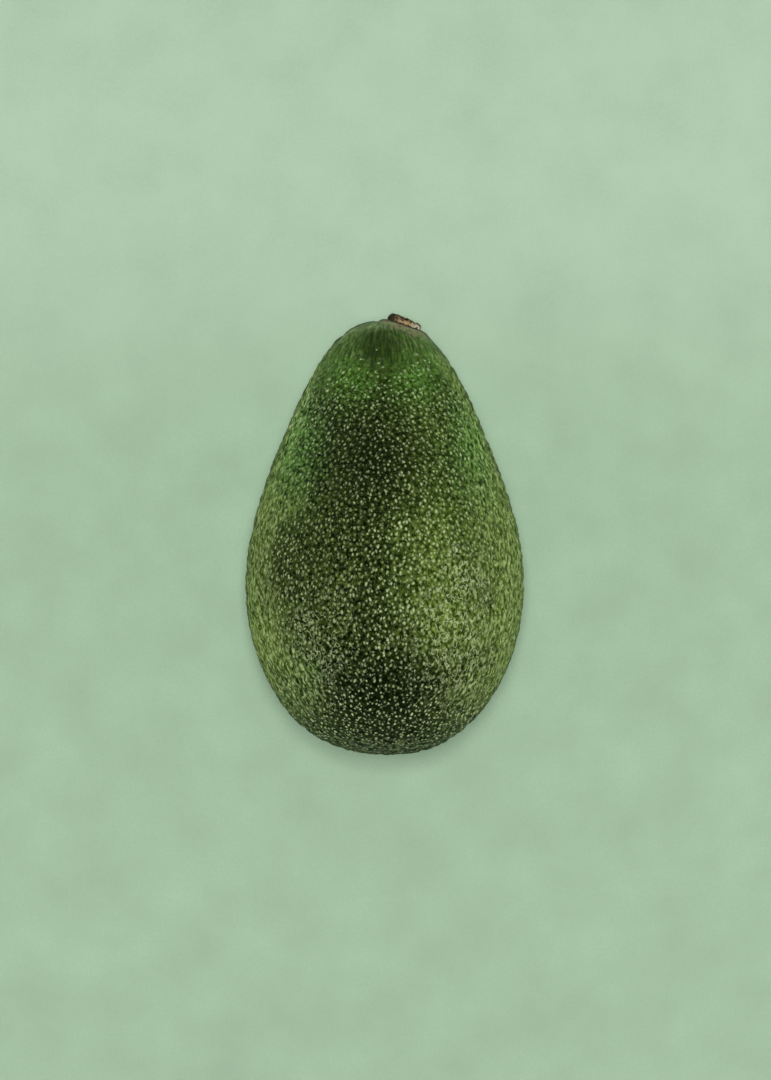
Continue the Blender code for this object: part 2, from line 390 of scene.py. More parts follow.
class StemSettings(PropertyGroup):
    """What a user would change on the stem button."""

    sides: IntProperty(name="Sides", description="Points round the stem button", default=168, min=24)
    rings: IntProperty(name="Rings", description="Rings across its end grain", default=46, min=6)
    bark: FloatVectorProperty(
        name="Bark", description="The dark, weathered side", subtype="COLOR",
        default=(0.036, 0.024, 0.010),
    )
    wood: FloatVectorProperty(
        name="Wood", description="The dry, pale wood", subtype="COLOR", default=(0.460, 0.315, 0.155)
    )
    dust: FloatVectorProperty(
        name="Dry edge", description="The palest, most weathered edge", subtype="COLOR",
        default=(0.73, 0.69, 0.48),
    )
    # Also the colour of the painted shadow round the button's foot.
    pit: FloatVectorProperty(
        name="Pits", description="Holes in the end grain", subtype="COLOR", default=(0.012, 0.007, 0.004)
    )


class StudioSettings(PropertyGroup):
    """The sheet, the lights and the camera."""

    sheet: FloatVectorProperty(
        name="Sheet", description="The pale sheet under the fruit", subtype="COLOR",
        default=(0.445, 0.632, 0.440),
    )
    # Painted light: the sheet beyond the stem end is painted paler, where more light falls.
    far_sheet_lit: FloatVectorProperty(
        name="Far sheet", description="The sheet beyond the stem end", subtype="COLOR",
        default=(0.54, 0.730, 0.545),
    )
    lens: FloatProperty(name="Lens", description="Focal length in millimetres", default=150)
    view_height: FloatProperty(
        name="View height", description="How much of the sheet the picture shows, top to bottom",
        default=0.27194, unit="LENGTH",
    )
    look_across: FloatProperty(
        name="Look across", description="The picture's middle, across the fruit",
        default=0.0002, unit="LENGTH",
    )
    look_along: FloatProperty(
        name="Look along", description="The picture's middle, along the fruit",
        default=-0.00178, unit="LENGTH",
    )
    side_power: FloatProperty(
        name="Side lights", description="Power of the light on each side, in watts", default=2.4
    )
    overhead_power: FloatProperty(
        name="Overhead light", description="Power of the light overhead, in watts", default=9.3
    )
    far_power: FloatProperty(
        name="Far light", description="Power of the light beyond the stem end, in watts", default=0.6
    )
    ambient: FloatProperty(name="Ambient", description="Strength of the light from all round", default=0.06)


class Wire:
    """A node's output that takes part in sums: each operator adds the Math node that works it out."""

    def __init__(self, tree, socket=None):
        self.tree = tree
        self.socket = socket

    def node(self, kind, settings=None, inputs=None, output=0):
        """Adds a node: its settings first, then its values and links."""
        made = self.tree.nodes.new(kind)
        for name, value in (settings or {}).items():
            setattr(made, name, value)
        for name, value in (inputs or {}).items():
            if isinstance(value, Wire):
                self.tree.links.new(value.socket, made.inputs[name])
            else:
                made.inputs[name].default_value = value
        return Wire(self.tree, made.outputs[output])

    def attribute(self, name):
        return self.node("ShaderNodeAttribute", {"attribute_name": name}, output="Vector")

    def maths(self, operation, *values):
        """A Math node. Without values, it works on this one alone."""
        inputs = dict(enumerate(values or (self,)))
        return self.node("ShaderNodeMath", {"operation": operation}, inputs)

    def __add__(self, other):
        return self.maths("ADD", self, other)

    def __sub__(self, other):
        return self.maths("SUBTRACT", self, other)

    def __rsub__(self, other):
        return self.maths("SUBTRACT", other, self)

    def __mul__(self, other):
        return self.maths("MULTIPLY", self, other)

    def __truediv__(self, other):
        return self.maths("DIVIDE", self, other)

    def __pow__(self, other):
        return self.maths("POWER", self, other)

    def __neg__(self):
        return self.maths("MULTIPLY", self, -1)

    __radd__ = __add__
    __rmul__ = __mul__

    def exp(self):
        return self.maths("EXPONENT")

    def clamped(self):
        return self.maths("MINIMUM", self.maths("MAXIMUM", self, 0), 1)

    def rise(self, low, high):
        """0 up to low, 1 from high on, and an S-shaped climb between."""
        inputs = {"Value": self, "From Min": low, "From Max": high}
        return self.node("ShaderNodeMapRange", {"interpolation_type": "SMOOTHSTEP"}, inputs)

    def mix(self, under, over):
        """The colour under, turning to the colour over where this is 1."""
        inputs = {0: self, 6: colour(under), 7: colour(over)}
        return self.node("ShaderNodeMix", {"data_type": "RGBA"}, inputs, output=2)

    def vector(self, operation, *values, output=0):
        inputs = dict(enumerate((self,) + values))
        return self.node("ShaderNodeVectorMath", {"operation": operation}, inputs, output)

    def scaled(self, scale):
        """The vector times one number, or times three of them along x, y and z."""
        return self.vector("MULTIPLY", scale if isinstance(scale, tuple) else (scale,) * 3)

    def noise(self, scale, detail=2.0, roughness=0.5):
        """Noise over this vector: the larger the scale, the closer together its features."""
        inputs = {"Vector": self.scaled(scale), "Scale": 1, "Detail": detail, "Roughness": roughness}
        return self.node("ShaderNodeTexNoise", None, inputs)

    def cells(self, scale):
        """How far the nearest of many scattered points is, in cells."""
        inputs = {"Vector": self.scaled(scale), "Scale": 1}
        return self.node("ShaderNodeTexVoronoi", None, inputs, "Distance")

    def apart(self):
        """The vector's x, y and z."""
        made = self.node("ShaderNodeSeparateXYZ", None, {0: self}).socket.node
        return [Wire(self.tree, output) for output in made.outputs]


def colour(value):
    """A Wire as it is, and plain red, green and blue with an alpha of 1."""
    return value if isinstance(value, Wire) else (*value[:3], 1)


def new_material(name, roughness_base=0.5):
    """A material, a Wire to start its nodes from, and its Principled shader."""
    material = bpy.data.materials.new(name)
    material.use_nodes = True
    shader = material.node_tree.nodes["Principled BSDF"]
    shader.inputs["Roughness"].default_value = roughness_base
    return material, Wire(material.node_tree), shader


def feed(shader, name, wire):
    wire.tree.links.new(wire.socket, shader.inputs[name])


def bump(height, distance, strength=1.0):
    """A Bump node's normal: distance is what a height of 1 stands for, in metres."""
    inputs = {"Height": height, "Distance": distance, "Strength": strength}
    return height.node("ShaderNodeBump", None, inputs)


def fade(values, start, end):
    """The same S-shaped climb as Wire.rise, on numbers."""
    share = np.clip((values - start) / (end - start), 0, 1)
    return share * share * (3 - 2 * share)


def object_from(mesh, name):
    thing = bpy.data.objects.new(name, mesh)
    bpy.context.scene.collection.objects.link(thing)
    return thing


def vectors_of(items, name):
    values = np.empty(len(items) * 3, np.float32)
    items.foreach_get(name, values)
    return values.reshape(-1, 3).astype(float)


def pebble_tops(spacing, scatter, seed):
    """Pebble middles set round a spiral like seeds in a flower head, each straying along the skin."""
    run, along, half_width = even_profile()
    belts = (half_width[1:] + half_width[:-1]) * math.pi * np.diff(run)
    covered = np.concatenate([[0], np.cumsum(belts)])
    count = round(covered[-1] / (spacing**2 * math.sqrt(3) / 2))
    draw = random.Random(seed)
    shares = (np.arange(count) + 0.5) / count * covered[-1]
    runs = np.interp(shares, covered, run)
    runs += [draw.uniform(-scatter, scatter) * spacing for _ in range(count)]
    radii = np.maximum(np.interp(runs, run, half_width), spacing / 2)
    turns = np.arange(count) * GOLDEN_ANGLE
    turns += [draw.uniform(-scatter, scatter) * spacing / radius for radius in radii]
    places = np.stack([radii * np.sin(turns), np.interp(runs, run, along), radii * np.cos(turns)], axis=1)
    tree = kdtree.KDTree(count)
    for index, place in enumerate(places):
        tree.insert(place, index)
    tree.balance()
    return tree, places


def domes(points, tree, spacing):
    """From 0.5 over each pebble's middle down to -0.5 in the grooves between them."""
    away = np.array([tree.find(point)[2] for point in points]) / spacing
    return 0.5 - np.minimum(away / PEBBLE_RADIUS_SHARE, 1) ** 2


def noise_at(points, spacing):
    return np.array([noise.noise(Vector(point) / spacing) for point in points])


def cube_ball(grid):
    """A cube's even grid blown up to a unit ball, with one square of the map for each cube face."""
    mesh = bmesh.new()
    bmesh.ops.create_cube(mesh, size=2)
    bmesh.ops.subdivide_edges(mesh, edges=mesh.edges, cuts=grid - 1, use_grid_fill=True)
    layer = mesh.loops.layers.uv.new("OFBake")
    for face in mesh.faces:
        middle = face.calc_center_median()
        axis = max(range(3), key=lambda a: abs(middle[a]))
        column = axis
        row = 1 if middle[axis] > 0 else 0
        first, second = [a for a in range(3) if a != axis]
        for loop in face.loops:
            u = (loop.vert.co[first] * 0.98 + 1) / 2
            v = (loop.vert.co[second] * 0.98 + 1) / 2
            loop[layer].uv = ((column + u) / 3, (row + v) / 3)
    for vert in mesh.verts:
        vert.co = Vector([math.tan(c * math.pi / 4) for c in vert.co]).normalized()
    data = bpy.data.meshes.new("skin")
    mesh.to_mesh(data)
    mesh.free()
    return data


def smooth_body(directions):
    """Where each direction of the ball meets the smooth body, and how far round and along it."""
    run, along, half_width = even_profile()
    reached = np.arccos(np.clip(-directions[:, 1], -1, 1)) / math.pi * run[-1]
    radius = np.interp(reached, run, half_width)
    around = np.arctan2(directions[:, 0], directions[:, 2])
    length = np.interp(reached, run, along)
    points = np.stack([radius * np.sin(around), length, radius * np.cos(around)], axis=1)
    return points, np.stack([np.sin(around), reached * MM, np.cos(around)], axis=1)


def moved(points, matrix):
    """The points, each turned and shifted by the matrix."""
    turn = np.array(matrix.to_3x3())
    return points @ turn.T + np.array(matrix.translation)


def skin_relief(points, sizes, fine_tops):
    """How far the skin stands out from the smooth body: swells, lumps, pebbles and the blossom scar."""
    from_stem = np.linalg.norm(moved(points, button_frame().inverted()), axis=1) - BUTTON_RADIUS
    calm = fade(from_stem, CALM_FROM_STEM, sizes.calm_reach)
    lump_tree, _ = pebble_tops(sizes.lump_spacing, sizes.scatter, sizes.seed + 1)
    lumps = domes(points, lump_tree, sizes.lump_spacing) * sizes.lump_height
    uneven = 0.8 + 0.6 * noise_at(points, UNEVEN_SPACING)
    pebbles = domes(points, fine_tops, sizes.pebble_spacing) * sizes.pebble_height * uneven
    swell = noise_at(points, SWELL_SPACING) * SWELL_HEIGHT + sizes.fullness
    shoulder = fade(points[:, 1], SHOULDER_FROM, SHOULDER_TO) * sizes.shoulder
    away = np.hypot(points[:, 0], points[:, 2]) / SCAR_RADIUS
    scar = -SCAR_DEPTH * (1 - away**2 / 2) * np.exp(-away * away) * (points[:, 1] < BODY_LENGTH / 2)
    blunt = -BLUNTED * fade(-points[:, 1], -BLUNTED_REACH, 0)
    broad = fade(from_stem, 0, LEVEL_ROUND_STEM) * (swell + shoulder)
    return calm * (lumps + pebbles) + broad + scar + blunt


def crown_relief(points):
    """Fine furrows that run out from the stem button, its lip, and the crease beside it."""
    local = moved(points, button_frame().inverted())
    from_stem = np.hypot(local[:, 0], local[:, 1]) - BUTTON_RADIUS
    near = fade(-from_stem, -FURROW_REACH, -CALM_FROM_STEM) * (local[:, 2] > -CROWN_DEPTH)
    around = np.arctan2(local[:, 1], local[:, 0])
    ring = np.stack([np.cos(around), np.sin(around), from_stem * FURROW_CHANGE], axis=1)
    furrows = noise_at(ring, FURROW_SPACING) * FURROW_HEIGHT
    crease = -CREASE_DEPTH * np.exp(-(((points[:, 0] - CREASE_ACROSS) / CREASE_WIDTH) ** 2))
    crease *= fade(points[:, 1], BODY_LENGTH - CREASE_FROM_END, BODY_LENGTH - CREASE_FULL_FROM_END)
    lip = LIP_HEIGHT * np.exp(-(((from_stem - LIP_FROM_STEM) / LIP_WIDTH) ** 2)) * near
    return near * furrows + crease + lip


def sink_socket(points):
    """Presses the round socket of the stem button into the crown."""
    frame_here = button_frame()
    local = moved(points, frame_here.inverted())
    from_axis = np.hypot(local[:, 0], local[:, 1])
    outer, inner = BUTTON_RADIUS + SOCKET_EDGE_OUTER, BUTTON_RADIUS + SOCKET_EDGE_INNER
    inside = fade(-from_axis, -outer, -inner) * (local[:, 2] > -SOCKET_REACH_DOWN)
    floor = np.minimum(local[:, 2], -BUTTON_SEATED - CLEARANCE)
    local[:, 2] += (floor - local[:, 2]) * inside
    return moved(local, frame_here)


def add_vectors(mesh, name, domain, values):
    made = mesh.attributes.new(name, "FLOAT_VECTOR", domain)
    made.data.foreach_set("vector", values.astype(np.float32).ravel())


def pebble_offsets(mesh, points, tree, places, seed):
    """For each face corner, the way there from its face's pebble, and that pebble's three chances."""
    middles = points[np.array([face.vertices[:] for face in mesh.polygons])].mean(axis=1)
    nearest = np.array([tree.find(middle)[1] for middle in middles])
    corners = np.empty(len(mesh.loops), np.int32)
    mesh.loops.foreach_get("vertex_index", corners)
    nearest = np.repeat(nearest, 4)
    chances = np.random.default_rng(seed).random(places.shape)
    return points[corners] - places[nearest], chances[nearest]


def grow_skin(sizes):
    """The whole skin as one closed mesh, laid down on its flat spot."""
    mesh = cube_ball(sizes.grid)
    smooth, meridian = smooth_body(vectors_of(mesh.vertices, "co"))
    mesh.vertices.foreach_set("co", smooth.astype(np.float32).ravel())
    mesh.update()
    outward = vectors_of(mesh.vertices, "normal")
    tree, places = pebble_tops(sizes.pebble_spacing, sizes.scatter, sizes.seed)
    height = skin_relief(smooth, sizes, tree) + crown_relief(smooth)
    laid = moved(sink_socket(smooth + outward * height[:, None]), LAID)
    laid[:, 2] = np.maximum(laid[:, 2], 0)
    add_vectors(mesh, "place", "POINT", moved(smooth, LAID) * MM)
    add_vectors(mesh, "meridian", "POINT", meridian)
    add_vectors(mesh, "outward", "POINT", outward @ np.array(LAID.to_3x3()).T)
    offsets, chances = pebble_offsets(mesh, smooth, tree, places, sizes.seed)
    add_vectors(mesh, "from_pebble", "CORNER", offsets @ np.array(LAID.to_3x3()).T * MM)
    add_vectors(mesh, "chance", "CORNER", chances)
    mesh.vertices.foreach_set("co", laid.astype(np.float32).ravel())
    mesh.update()
    mesh.shade_smooth()
    return mesh


def patch(place, centre, reach):
    """A soft patch on the fruit as seen from above, 1 at its centre. Sizes are in millimetres."""
    away = place.vector("SUBTRACT", (*centre, 0)).vector("DIVIDE", (*reach, 1))
    x, y, _ = away.apart()
    return (-(x * x + y * y)).exp()


def patches(place, spots):
    """Several soft patches, each with its own strength, added up."""
    first, *others = [patch(place, centre, reach) * strength for centre, reach, strength in spots]
    return sum(others, first)


def skin_material(colours):
    """Pale dots over a mottled ground: darkest along the top, yellower and streaked on the sides, partly
    painted shade on top and painted light on the sides.
    """
    material, start, shader = new_material("green_skin")
    place, offset, outward = [start.attribute(name) for name in ("place", "from_pebble", "outward")]
    meridian, chance = [start.attribute(name) for name in ("meridian", "chance")]
    _, forward, upward = outward.apart()
    blossom_end = (-forward).rise(0.32, 0.80) * upward.rise(-0.3, 0.0)
    # Painted light and shade in part: side turns the top's darker colours into the sides' paler ones.
    side = flank(place, upward) * (1 - blossom_end)
    above = upward.rise(0.0, 0.45)
    streaks = meridian.noise((38, 0.5, 38), 2.5, 0.55)
    ragged = (place.noise(2.6, 2, 0.6) - 0.5) * 0.5
    away = offset.vector("LENGTH", output="Value") + ragged
    hollow = hollows(place, meridian, away, side, streaks)
    # Painted light in part: the pits turn to the sides' paler colour on the lit patches on the right and
    # below the crown.
    paler = (patches(place, LIGHT_PATCHES) + patches(place, LIT_CROWN_PATCHES)) * above
    pits = (side + paler).clamped().mix(colours.pit, colours.side_pit)
    # The grooves and hollows turn to the pit colours: partly painted shade between the pebbles, partly
    # darker skin.
    shade = hollow.mix(ground_colour(place, side, above, colours), pits)
    shade = (streaks.rise(0.46, 0.70) * side * 0.42).mix(shade, colours.side_dot)
    shade = crown_paint(place, meridian, upward, shade, colours)
    lenticels = 1 - (place.apart()[1] + chance.apart()[2] * 15).rise(*DOTS_EDGE)
    pale = pale_dots(place, offset, chance, ragged) * lenticels
    pale = pale * (1 - side * 0.35) * (1 + 0.9 * blossom_end)
    shade = pale.clamped().mix(shade, side.mix(colours.dot, colours.side_dot))
    shade = end_rings(meridian, forward, shade, colours)
    shade = flank_marks(place, meridian, upward, streaks, shade, colours)
    shade = ridges(place, above, shade, colours)
    feed(shader, "Base Color", blossom_scar(place, shade, colours))
    fine = place.noise(1.7, 4, 0.6)
    feed(shader, "Roughness", 0.42 + 0.16 * fine + 0.10 * pale)
    shader.inputs["Specular IOR Level"].default_value = 0.1
    dome = 1 - (away / 0.95) ** 2
    height = dome * 0.09 * lenticels + fine * 0.07 - hollow * 0.06
    feed(shader, "Normal", bump(height, 0.001))
    return material


def flank(place, upward):
    """1 on the sides and underneath, 0 along the top, with a wandering edge, lower in two places. It picks
    the sides' paler colours, partly painted light, over the top's darker ones, partly painted shade.
    """
    along = place.apart()[1]
    drift = (place.noise(0.08, 3) - 0.5) * 0.5 + along.maths("MAXIMUM", along, -10) * 0.006
    return 1 - (upward + drift + patches(place, LOWER_TOP_EDGE)).rise(0.48, 0.80)


def ground_colour(place, side, above, colours):
    """The skin between the dots, with its broad shades. Among them, the dark middle of the top is partly
    painted shade and the paler right side partly painted light.
    """
    ground = side.mix(colours.green, colours.side_green)
    drift = place.noise(0.13, 3)
    ground = (drift.rise(0.5, 0.8) * 0.6).mix(ground, colours.light)
    ground = ((1 - drift.rise(0.22, 0.5)) * 0.6).mix(ground, colours.brown)
    ground = (patches(place, LIGHT_PATCHES) * above).clamped().mix(ground, colours.light)
    for name, centre, reach, strength in BROAD_SHADES:
        amount = patch(place, centre, reach) * above * strength
        ground = amount.mix(ground, getattr(colours, name))
    return ground


def hollows(place, meridian, away, side, streaks):
    """Where the ground is dark: grooves between the pebbles, darkened partly as painted shade, fine grain,
    and slots on the sides.
    """
    mottle = place.noise((1.1, 0.75, 1.1), 3, 0.6)
    grain = place.noise((3.2, 2.2, 3.2), 3, 0.65)
    groove_shade = away.rise(0.32, 0.62) * (0.62 - 0.45 * side)
    uneven = (0.5 - mottle) * 3.4 * (1 - side * 0.7) + (0.5 - streaks) * 3.8 * side
    fine = (0.5 - grain) * 3.2 * (1 - side * 0.5)
    slots = 1 - meridian.cells((26, 0.5, 26)).rise(0.16, 0.40)
    everywhere = 0.06 + patches(place, DARK_BELLY)
    return (groove_shade + everywhere + uneven + fine + slots * 1.1 * side).clamped()


def pale_dots(place, offset, chance, ragged):
    """Pale dots, no two alike: a long one on each pebble, faint or bright, and crisp specks between."""
    big, bright, slant = chance.apart()
    x, y, z = offset.apart()
    leaning = x * 1.2 + y * (slant - 0.5)
    parts = {0: leaning, 1: y * (1.0 - 0.4 * big), 2: z * 1.2}
    skewed = offset.node("ShaderNodeCombineXYZ", None, parts)
    size = 0.26 + 0.13 * big * big
    dot = 1 - ((skewed.vector("LENGTH", output="Value") + ragged * 0.7) / size).rise(0.45, 1.25)
    specks = 1 - place.cells((1.15, 0.85, 1.15)).rise(0.14, 0.28)
    faint = patches(place, FAINT_DOTS) + patches(place, RIDGED_FLANKS) * 0.4
    drift = 0.5 + 0.9 * place.noise(0.16, 2) - faint
    return (dot * (0.28 + 0.66 * bright) + specks * (0.12 + 0.40 * bright)) * drift


def flank_marks(place, meridian, upward, streaks, shade, colours):
    """Dark lines, notches and pale streaks along the flanks, with painted shade where they turn under."""
    seen = upward.rise(0.0, 0.2)
    low = patches(place, LOW_FLANKS) * seen
    dark_lines = 1 - meridian.noise((34, 0.8, 34), 2).rise(0.38, 0.50)
    shade = (dark_lines * low * 0.85).mix(shade, colours.pit)
    notches = 1 - meridian.cells((20, 0.30, 20)).rise(0.20, 0.38)
    shade = (notches * patches(place, NECK_FLANKS) * seen * 0.75).mix(shade, colours.pit)
    high = patches(place, HIGH_FLANK) * seen
    shade = (streaks.rise(0.54, 0.64) * (low * 0.4 + high * 0.5)).mix(shade, colours.side_dot)
    # Painted shade: the flanks darken to the side pit colour where they turn under.
    underside_shade = 1 - (upward + (streaks - 0.5) * 0.5).rise(0.0, 0.32)
    return (underside_shade * 0.7).mix(shade, colours.side_pit)


def end_rings(meridian, forward, shade, colours):
    """Round the blossom end, broad pale marks with dark skin between them."""
    rings = meridian.noise((5, 0.60, 5), 1)
    near = (-forward).rise(0.84, 0.95)
    shade = ((1 - rings.rise(0.40, 0.50)) * near * 0.8).mix(shade, colours.pit)
    return (rings.rise(0.54, 0.64) * near * 0.26).mix(shade, colours.side_dot)


def crown_paint(place, meridian, upward, shade, colours):
    """The smooth crown: dark and finely striped in the middle, partly painted shade, greyer over its edge
    as painted light, and darkened on its far face as painted shade.
    """
    along = place.apart()[1]
    crown = along.rise(*CROWN_EDGE)
    streaks = meridian.noise((30, 0.2, 30), 3, 0.6)
    flecks = meridian.noise((19, 0.34, 19), 2)
    striped = (streaks.rise(0.44, 0.64) * 0.7).mix(colours.green, colours.lively)
    striped = ((1 - streaks.rise(0.36, 0.50)) * 0.8).mix(striped, colours.crown)
    striped = (flecks.rise(0.54, 0.68) * 0.4).mix(striped, colours.side_dot)
    shade = (along.rise(*STRIPES_EDGE) * 0.7).mix(shade, striped)
    middle = streaks.rise(0.42, 0.72).mix(colours.crown, colours.green)
    # Partly painted shade: the dark middle of the crown.
    shade = patches(place, DARK_CROWN).clamped().mix(shade, middle)
    from_end = place.vector("SUBTRACT", tuple(LAID @ Vector((0, BODY_LENGTH, 0)) * MM))
    from_end = from_end.vector("DIVIDE", CAP_SHAPE).vector("LENGTH", output="Value")
    # Painted light: the greyer cap over the crown's edge.
    cap_sheen = (1 - (from_end + (flecks - 0.5) * 8).rise(*CAP_EDGE)) * crown
    mottle = place.noise(0.7, 3, 0.6) * 0.6 + streaks * 0.4
    shade = (cap_sheen * (0.08 + 0.85 * mottle.rise(0.36, 0.62))).mix(shade, colours.rim)
    # Painted shade: the crown's far face, where it turns away, darkened to its middle colour.
    far_face_shade = (1 - upward.rise(0.10, 0.36)) * along.rise(*DARK_RIM_EDGE)
    shade = (far_face_shade * 0.85).mix(shade, middle)
    return round_the_stem(place, upward, crown, mottle, shade, colours)


def round_the_stem(place, upward, crown, mottle, shade, colours):
    """Dry, torn skin round the stem button, and the painted shadow in and round the gap that it stands in.
    """
    from_button = place.vector("SUBTRACT", tuple(BUTTON.translation * MM))
    axis = tuple(BUTTON.to_3x3() @ Vector((0, 0, 1)))
    radial = from_button.vector("CROSS_PRODUCT", axis).vector("LENGTH", output="Value")
    ragged = (place.noise(0.8, 3) - 0.5) * 9
    torn = (1 - (radial + ragged).rise(*TORN_EDGE)) * crown * 0.65
    torn = torn + patches(place, DRY_PATCHES) * upward.rise(0, 0.2) * mottle.rise(0.3, 0.5) * 0.8
    shade = torn.clamped().mix(shade, colours.torn)
    # Painted shadow round the stem button's gap.
    return ((1 - radial.rise(*GAP_EDGE)) * crown).mix(shade, colours.gap)


def ridges(place, above, shade, colours):
    """Pale, winding dry ridges where the dots run together, mostly on the lower flanks."""
    curls = (place.noise((0.80, 0.62, 0.80), 1) - 0.5).maths("ABSOLUTE")
    line = 1 - curls.rise(0.010, 0.050)
    broken = place.noise(0.55, 1).rise(0.40, 0.54)
    amount = line * broken * (patches(place, RIDGED_FLANKS) * above * 1.2 + 0.04).clamped()
    return (amount * 0.9).mix(shade, colours.ridge)


def blossom_scar(place, shade, colours):
    """The small dry scar at the fat end."""
    tip = LAID @ Vector((0, 0, 0)) * MM
    away = place.vector("DISTANCE", tuple(tip), output="Value") + (place.noise(1.2, 2) - 0.5) * 1.2
    return (1 - away.rise(*SCAR_EDGE)).mix(shade, colours.scar)


def button_rim(around):
    """The bark's outline: never quite round, with upright furrows."""
    spot_here = Vector((math.cos(around), math.sin(around), 4)) * 2.2
    ridges = noise.noise(Vector((math.cos(around), math.sin(around), 1)) * 7)
    return BUTTON_RADIUS - RIM_HOLLOWS * abs(noise.noise(spot_here)) + RIM_FURROWS * ridges


def button_top(x, y):
    """The broken end grain: it slopes down outwards, with pits, torn ridges and a worn edge."""
    here = Vector((x, y, 0))
    coarse = noise.noise(here / GRAIN_COARSE_SPACING) * GRAIN_COARSE
    fine = noise.fractal(here / GRAIN_FINE_SPACING, 0.8, 2.2, 4) * GRAIN_FINE
    pit = noise.voronoi(Vector((x, y, 0.0005)) / GRAIN_PIT_SPACING)[0][0]
    hollow = -GRAIN_PIT_DEPTH * max(0, 1 - pit / GRAIN_PIT_SHARE)
    domed = GRAIN_DOME * (1 - (x * x + y * y) / BUTTON_RADIUS**2)
    return BUTTON_PROUD - BUTTON_SLOPE * x + domed + coarse + fine + hollow


def bark_point(around, share, rise):
    """A point on the bark, from the bottom of the button at rise 0 to its top edge at 1."""
    radius = button_rim(around) * share
    x, y = radius * math.cos(around), radius * math.sin(around)
    height = -BUTTON_SEATED + (button_top(x, y) + BUTTON_SEATED) * rise
    crust = noise.fractal(Vector((x, y, height * 1.6)) / CRUST_SPACING, 0.9, 2.1, 4)
    flare = 1 + CRUST_SHARE * crust
    return Vector((x * flare, y * flare, height))


def grow_stem(settings):
    """The stem button as rings: up the bark, over a worn edge, then in across the end grain."""
    mesh = bmesh.new()
    shares = [END_GRAIN_SHARE * (1 - step / settings.rings) for step in range(settings.rings)]
    rows = [*BARK_RINGS, *[(share, 1.0) for share in shares]]
    turns = [2 * math.pi * side / settings.sides for side in range(settings.sides)]
    rings = [[mesh.verts.new(bark_point(turn, *row)) for turn in turns] for row in rows]
    bottom = mesh.verts.new((0, 0, -BUTTON_SEATED))
    top = mesh.verts.new((0, 0, button_top(0, 0)))
    for side in range(settings.sides):
        after = (side + 1) % settings.sides
        for low, high in zip(rings, rings[1:]):
            mesh.faces.new((low[side], low[after], high[after], high[side]))
        mesh.faces.new((bottom, rings[0][after], rings[0][side]))
        mesh.faces.new((top, rings[-1][side], rings[-1][after]))
    data = bpy.data.meshes.new("stem")
    mesh.to_mesh(data)
    mesh.free()
    local = vectors_of(data.vertices, "co")
    add_vectors(data, "place", "POINT", local * MM)
    data.transform(BUTTON)
    data.shade_smooth()
    return data


def bark_material(settings):
    """Dry stalk: dark bark to the left, pale wood to the right, black pits, fine fibres, and a painted
    shadow round its foot.
    """
    material, start, shader = new_material("dry_stalk", 0.9)
    place = start.attribute("place")
    x, y, z = place.apart()
    across = x * WEATHERED_WAY[0] + y * WEATHERED_WAY[1]
    fibres = place.noise((2.2, 2.2, 0.8), 4, 0.65)
    blotches = place.noise(0.8, 3, 0.55) - 0.5
    weathered = (across + blotches * 2.4).rise(-4.2, -0.4)
    shade = weathered.mix(settings.bark, settings.wood)
    dusty = ((across + blotches * 3.0).rise(1.2, 3.2) + fibres.rise(0.56, 0.74)).clamped()
    shade = (dusty * weathered * 0.9).mix(shade, settings.dust)
    knots = place.noise((1.0, 1.0, 1.5), 3, 0.6)
    dark = z.rise(0.9, 1.7) * (1 - fibres.rise(0.45, 0.7)) * 0.6 + knots.rise(0.49, 0.58) * 0.75
    shade = dark.clamped().mix(shade, settings.bark)
    # Painted shadow: the bark darkens to the pit colour at the foot of the button, where it sits in its
    # socket.
    foot_shadow = 1 - (z + blotches * 2.4).rise(0.1, 0.7)
    shade = (foot_shadow * 0.9).mix(shade, settings.pit)
    holes = (1 - place.cells((0.5, 0.5, 0.8)).rise(0.12, 0.30)).clamped()
    for spot in BARK_HOLES:
        near = 1 - (place.vector("DISTANCE", spot, output="Value") + blotches * 1.6).rise(0.25, 0.55)
        holes = holes + near
    holes = holes.clamped()
    shade = (holes * 0.92).mix(shade, settings.pit)
    feed(shader, "Base Color", shade)
    feed(shader, "Normal", bump(fibres * 0.34 - holes * 0.3, 0.001, 0.9))
    feed(shader, "Roughness", 0.78 + 0.2 * fibres)
    return material


def sheet_material(settings):
    """A pale matt sheet with a faint mottle and paper grain, painted paler beyond the stem end as painted
    light.
    """
    material, start, shader = new_material("pale_sheet", 0.85)
    here = start.node("ShaderNodeTexCoord", output="Object").scaled(MM)
    mottle = here.noise(0.06, 3)
    grain = here.noise(1.4, 3, 0.6)
    tone = (0.5 + (mottle - 0.5) * 1.3 + (grain - 0.5) * 0.8).clamped()
    darker, lighter = [[part * share for part in settings.sheet] for share in SHEET_TONES]
    shade = tone.mix(darker, lighter)
    # Painted light: paler towards the far side.
    far = here.apart()[1].rise(*FAR_SHEET_EDGE) * (0.4 + 0.6 * tone)
    feed(shader, "Base Color", far.mix(shade, settings.far_sheet_lit))
    feed(shader, "Normal", bump(grain, 0.0002, 0.4))
    return material


def add_light(name, place, size, power, glossy=True, shadow=True):
    """A soft box that faces the fruit. One that isn't glossy isn't mirrored in the skin."""
    data = bpy.data.lights.new(name, "AREA")
    data.shape = "RECTANGLE"
    data.size, data.size_y = size
    data.energy = power
    data.use_shadow = shadow
    lamp = bpy.data.objects.new(name, data)
    lamp.visible_glossy = glossy
    bpy.context.scene.collection.objects.link(lamp)
    lamp.location = place
    aim = Vector(LAMP_AIM) - Vector(place)
    lamp.rotation_euler = aim.to_track_quat("-Z", "Y").to_euler()


